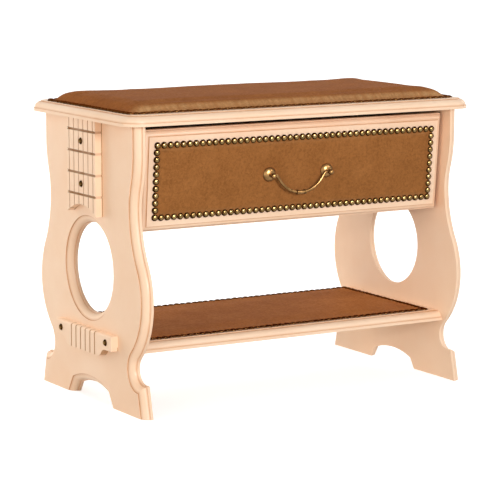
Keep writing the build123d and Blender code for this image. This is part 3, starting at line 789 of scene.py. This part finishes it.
# Planed beech: pale, with fine flecks and a soft grain that runs along the piece
def planed_wood(name, grain, dark, light):
    wood, tree = blank_finish(name)
    place = add_node(tree, "ShaderNodeTexCoord", {}).outputs["Object"]
    drawn = add_node(tree, "ShaderNodeMapping", {"Vector": place, "Scale": grain})
    rings = add_node(
        tree,
        "ShaderNodeTexNoise",
        {"Vector": drawn.outputs["Vector"], "Scale": 1.0, "Detail": 6.0, "Distortion": 0.6},
    )
    colour = add_node(tree, "ShaderNodeValToRGB", {"Fac": rings.outputs["Fac"]})
    colour.color_ramp.elements[0].position = 0.35
    colour.color_ramp.elements[0].color = linear(dark)
    colour.color_ramp.elements[1].position = 0.65
    colour.color_ramp.elements[1].color = linear(light)
    dull = add_node(
        tree,
        "ShaderNodeMapRange",
        {"Value": rings.outputs["Fac"], "From Min": 0.3, "From Max": 0.7, "To Min": 0.62, "To Max": 0.5},
    )
    relief = add_node(
        tree, "ShaderNodeBump", {"Height": rings.outputs["Fac"], "Strength": 0.15, "Distance": 0.0004}
    )
    finish = add_node(
        tree,
        "ShaderNodeBsdfPrincipled",
        {
            "Base Color": colour.outputs["Color"],
            "Roughness": dull.outputs["Result"],
            "Normal": relief.outputs["Normal"],
        },
    )
    add_node(tree, "ShaderNodeOutputMaterial", {"Surface": finish.outputs["BSDF"]})
    return wood


# Growth rings about 5 mm apart, drawn out over 120 mm along the grain; hardboard has fibre clumps of 2 mm
cross_grain = 1 / 0.005
with_grain = 1 / 0.120
fibres = 1 / 0.002
beech_deep = planed_wood("beech_along_depth", (cross_grain, with_grain, cross_grain), "#B98B5B", "#D6AE7E")
beech_long = planed_wood("beech_along_length", (with_grain, cross_grain, cross_grain), "#B98B5B", "#D6AE7E")
hardboard = planed_wood("pressed_hardboard", (fibres, fibres, fibres), "#7C5836", "#966D45")
for node_name, wood in (
    ("left_runner", beech_deep),
    ("right_runner", beech_deep),
    ("seat_dowels", beech_deep),
    ("shelf_dowels", beech_long),
    ("rail_dowels", beech_long),
    ("drawer_left_side", beech_deep),
    ("drawer_right_side", beech_deep),
    ("drawer_back", beech_long),
    ("drawer_dowels", beech_deep),
    ("drawer_bottom", hardboard),
):
    coat(node_name, wood)


# Screws of the runners and of the handle: zinc-plated steel, driven from inside. The plating is a pale, cool
# grey, cloudy where it has tarnished.
def tarnished_metal(name, dark, light, smooth, rough):
    metal, tree = blank_finish(name)
    place = add_node(tree, "ShaderNodeTexCoord", {}).outputs["Object"]
    # Tarnish lies in clouds of about 8 mm
    cloud = add_node(
        tree,
        "ShaderNodeTexNoise",
        {"Vector": place, "Scale": 1 / 0.008, "Detail": 5.0, "Roughness": 0.6},
    )
    colour = add_node(tree, "ShaderNodeValToRGB", {"Fac": cloud.outputs["Fac"]})
    colour.color_ramp.elements[0].position = 0.35
    colour.color_ramp.elements[0].color = linear(dark)
    colour.color_ramp.elements[1].position = 0.65
    colour.color_ramp.elements[1].color = linear(light)
    dull = add_node(
        tree,
        "ShaderNodeMapRange",
        {"Value": cloud.outputs["Fac"], "From Min": 0.3, "From Max": 0.7, "To Min": rough, "To Max": smooth},
    )
    finish = add_node(
        tree,
        "ShaderNodeBsdfPrincipled",
        {"Base Color": colour.outputs["Color"], "Roughness": dull.outputs["Result"], "Metallic": 1.0},
    )
    add_node(tree, "ShaderNodeOutputMaterial", {"Surface": finish.outputs["BSDF"]})
    return metal


zinc = tarnished_metal("zinc_plated_steel", "#9A9C9E", "#C4C6C8", smooth=0.28, rough=0.42)
coat("runner_screws", zinc)
coat("handle_screws", zinc)


# Drawer front: a painted board that leans with the panels' edges, moulded round all four sides and dowelled
# to the drawer box.
front_lean = math.radians(5)
front_out = Vector((0, -math.cos(front_lean), -math.sin(front_lean)))
front_up = Vector((0, -math.sin(front_lean), math.cos(front_lean)))
front_middle = Vector((0, -0.1386, 0.352995))
front_face = front_middle.dot(front_out)
front_moulding_depth = 0.0094
front_ledge = front_face - front_moulding_depth
# The ledge is hidden in the gap round the drawer, so it has no faint line
front_glaze = moulding_glaze(front_out, front_face, front_ledge)[:3]
front_paint = ivory_paint("drawer_front_ivory_paint", front_glaze)
finished("drawer_front", "drawer", front_paint)


# Drawer leather: hide over a thin wadding, nailed round its edge to the leaning front. It bulges a little
# inside the nails.
drawer_hide_length = 0.5055
drawer_hide_depth = 0.119
front_place = Matrix.Translation(front_middle) @ Matrix(
    ((1, 0, 0), tuple(front_up), tuple(front_out))
).transposed().to_4x4()
drawer_hide = grained_leather("drawer_brown_leather", "#8B582D", "#996335", wear_and_sheen="#C39868")
drawer_cover = padded_cover(
    "drawer_leather_cover",
    length=drawer_hide_length - 2 * hidden_edge,
    depth=drawer_hide_depth - 2 * hidden_edge,
    corner=0.002,
    hide=hide_thickness,
    rim=nailed_width - hidden_edge,
    border=0.007,
    crown=0.0029,
    fullness=2.6,
    step=0.009,
    give=0.0004,
    push=0.4,
    pucker=0.0004,
)
drawer_cover.data.transform(front_place)
drawer_cover.data.materials.append(drawer_hide)
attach(drawer_cover, "drawer")
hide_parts("drawer_leather")


# Drawer nails: the same bronzed heads, round the leather of the drawer front. Nothing rubs them, so they keep
# their dark bronze and their full domes.
drawer_row_length = 0.4969
drawer_row_depth = 0.1104
driven_nails(
    "drawer_nails",
    "drawer",
    front_place @ Matrix.Translation((0, 0, hide_thickness - nail_sunk)),
    nail_bronze,
    length=drawer_row_length,
    depth=drawer_row_depth,
    corner=0.0005,
    count=110,
    seed=11,
)


# Drawer pull: cast brass, aged to a soft brown sheen. Two posts with domed rosettes are screwed from inside,
# and a bail with two collars swings between them.
aged_brass = tarnished_metal("aged_brass", "#6C502E", "#906E46", smooth=0.30, rough=0.40)
finished("left_handle_post", "drawer", aged_brass)
finished("right_handle_post", "drawer", aged_brass)
finished("handle_bail", "bail", aged_brass)


# Floor, light and camera: a pale matt floor under a white sky, a key lamp at the front, wide fill lamps at
# the left, the back and the right, two lamps that only make highlights, and a long lens some 3.7 m away. The
# sky that the camera sees, also in metal or glass, is plain white; the light from it is weaker.
def seen_rays(tree):
    path = add_node(tree, "ShaderNodeLightPath", {}).outputs
    mirrored = add_node(
        tree,
        "ShaderNodeMath",
        {0: path["Is Glossy Ray"], 1: path["Is Transmission Ray"]},
        operation="MAXIMUM",
    )
    return add_node(
        tree, "ShaderNodeMath", {0: path["Is Camera Ray"], 1: mirrored.outputs[0]}, operation="MAXIMUM"
    ).outputs[0]


# Matt floor paint: pale and even with no gloss, so that only the soft shadow of the bench shows on it
def pale_floor():
    pale, tree = blank_finish("pale_studio_floor")
    place = add_node(tree, "ShaderNodeTexCoord", {}).outputs["Object"]
    # Far away, where the lamps no longer reach, the floor is lifted to the white of the sky
    away = add_node(tree, "ShaderNodeVectorMath", {0: place}, operation="LENGTH")
    fade = add_node(
        tree,
        "ShaderNodeMapRange",
        {"Value": away.outputs["Value"], "From Min": 0.8, "From Max": 4.0, "To Min": 0.62, "To Max": 1.0},
    )
    lift = add_node(
        tree,
        "ShaderNodeMath",
        {0: seen_rays(tree), 1: fade.outputs["Result"]},
        operation="MULTIPLY",
    )
    # Its own tone drifts a little over about 2 m
    cloud = add_node(tree, "ShaderNodeTexNoise", {"Vector": place, "Scale": 1 / 2.0})
    white = add_node(tree, "ShaderNodeValToRGB", {"Fac": cloud.outputs["Fac"]})
    white.color_ramp.elements[0].color = linear("#D8D8D8")
    white.color_ramp.elements[1].color = linear("#DCDCDC")
    matt = add_node(tree, "ShaderNodeBsdfDiffuse", {"Color": white.outputs["Color"]})
    glow = add_node(tree, "ShaderNodeEmission", {"Strength": lift.outputs[0]})
    both = add_node(tree, "ShaderNodeAddShader", {0: matt.outputs["BSDF"], 1: glow.outputs["Emission"]})
    add_node(tree, "ShaderNodeOutputMaterial", {"Surface": both.outputs["Shader"]})
    return pale


floor_half = 60
floor_corners = [(x * floor_half, y * floor_half, 0) for x, y in ((-1, -1), (1, -1), (1, 1), (-1, 1))]
floor_mesh = bpy.data.meshes.new("studio_floor")
floor_mesh.from_pydata(floor_corners, [], [(0, 1, 2, 3)])
floor_mesh.materials.append(pale_floor())
floor = bpy.data.objects.new("studio_floor", floor_mesh)
bpy.context.collection.objects.link(floor)

scene = bpy.context.scene
scene.view_settings.view_transform = "Standard"
sky = bpy.data.worlds.new("white_studio")
sky.use_nodes = True
sky.node_tree.nodes.clear()
horizon_light = 0.51
zenith_light = 0.38
heading = add_node(sky.node_tree, "ShaderNodeTexCoord", {}).outputs["Generated"]
upward = add_node(sky.node_tree, "ShaderNodeSeparateXYZ", {0: heading}).outputs["Z"]
walls = add_node(
    sky.node_tree, "ShaderNodeMapRange", {"Value": upward, "To Min": horizon_light, "To Max": zenith_light}
)
level = add_node(
    sky.node_tree,
    "ShaderNodeMapRange",
    {"Value": seen_rays(sky.node_tree), "To Min": walls.outputs["Result"], "To Max": 1.0},
)
air = add_node(
    sky.node_tree, "ShaderNodeBackground", {"Color": linear("#FFFFFF"), "Strength": level.outputs["Result"]}
)
add_node(sky.node_tree, "ShaderNodeOutputWorld", {"Surface": air.outputs["Background"]})
scene.world = sky

lamp_aim = Vector((0, 0, 0.25))
for name, spot, size, watts, colour, lights_matt, lights_gloss in (
    ("left_lamp", (-3.3, -1.6, 0.95), 2.0, 33, "#FFF3E6", True, True),
    ("back_lamp", (-0.8, 2.4, 0.9), 1.8, 52, "#FFFFFF", True, False),
    ("right_lamp", (2.7, 0.5, 1.7), 1.8, 34, "#FFFFFF", True, False),
    ("key_lamp", (-0.4, -3.1, 1.1), 0.4, 48, "#F8FAFF", True, True),
    ("spark_lamp", (-0.3, -3.2, 1.6), 1.2, 190, "#FFFAF6", False, True),
    ("right_spark_lamp", (2.2, -2.3, 2.2), 1.0, 36, "#FFF8F0", False, True),
):
    lamp = bpy.data.lights.new(name, "AREA")
    lamp.size = size
    lamp.energy = watts
    lamp.color = linear(colour)[:3]
    holder = bpy.data.objects.new(name, lamp)
    holder.location = spot
    holder.rotation_euler = (lamp_aim - Vector(spot)).to_track_quat("-Z", "Y").to_euler()
    holder.visible_diffuse = lights_matt
    holder.visible_glossy = lights_gloss
    bpy.context.collection.objects.link(holder)

camera_down = 8.75
camera_right = 30.65
lens = bpy.data.cameras.new("camera")
lens.sensor_width = 36
lens.lens = 167.1
lens.clip_end = 200
camera = bpy.data.objects.new("camera", lens)
camera.location = (-1.88253, -3.17298, 0.78014)
camera.rotation_euler = (math.radians(90 - camera_down), 0, math.radians(-camera_right))
bpy.context.collection.objects.link(camera)
scene.camera = camera
